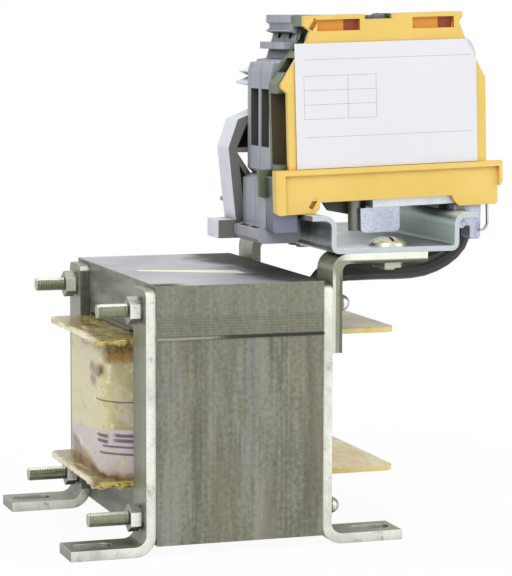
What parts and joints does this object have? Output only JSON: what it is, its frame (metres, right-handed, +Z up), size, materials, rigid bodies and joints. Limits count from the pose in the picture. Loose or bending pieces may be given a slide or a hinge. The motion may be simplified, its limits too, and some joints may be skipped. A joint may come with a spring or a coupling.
{
  "type": "line reactor",
  "caption": "Line reactor with a laminated iron core and a varnished coil on slotted feet, and a side rail that carries clip-on wire terminals, an earth terminal and an end stop.",
  "frame": {"origin": "centre of the four foot slots, on the mounting plane under the feet", "axes": "+Z up from the mounting plane, +X along the lamination stack towards the rail, +Y along the rail to its free end"},
  "size_m": [0.0908, 0.0606, 0.1049],
  "materials": {
    "core_steel": "satin",
    "varnished_board": "satin",
    "coil_tape": "satin",
    "copper": "satin",
    "zinc_steel": "satin",
    "rail_zinc": "satin",
    "fastener_steel": "satin",
    "terminal_grey": "matte",
    "stop_grey": "matte",
    "earth_green": "matte",
    "earth_yellow": "matte",
    "brass": "satin",
    "clamp_steel": "satin",
    "label": "matte",
    "lead_black": "satin",
    "ferrule": "satin"
  },
  "bodies": {
    "root": {"e_core": "core_steel", "i_yoke": "core_steel", "gap_spacer": "varnished_board", "bobbin": "varnished_board", "outer_tape": "coil_tape", "winding": "copper", "foot_front_left": "zinc_steel", "foot_rear_left": "zinc_steel", "foot_front_right": "zinc_steel", "foot_rear_right": "zinc_steel", "rail_bracket_front": "zinc_steel", "rail_bracket_rear": "zinc_steel", "core_washers": "zinc_steel", "core_lock_washers": "zinc_steel", "mounting_rail": "rail_zinc", "core_bolts": "fastener_steel", "core_nuts": "fastener_steel", "rail_screws": "fastener_steel", "rail_nuts": "fastener_steel", "end_stop_screw": "fastener_steel", "terminal_1_housing": "terminal_grey", "terminal_2_housing": "terminal_grey", "terminal_end_cover": "terminal_grey", "end_stop": "stop_grey", "earth_housing_green": "earth_green", "earth_housing_yellow": "earth_yellow", "terminal_bars": "brass", "earth_bar": "brass", "terminal_cages": "clamp_steel", "terminal_screws": "clamp_steel", "earth_cages": "clamp_steel", "earth_screws": "clamp_steel", "earth_foot": "clamp_steel", "earth_rail_jaw": "clamp_steel", "earth_jaw_screw": "clamp_steel", "earth_jaw_plate": "clamp_steel", "earth_jaw_spring": "clamp_steel", "rating_label": "label", "lead_start": "lead_black", "lead_finish": "lead_black", "lead_ferrules": "ferrule"}
  },
  "joints": []
}
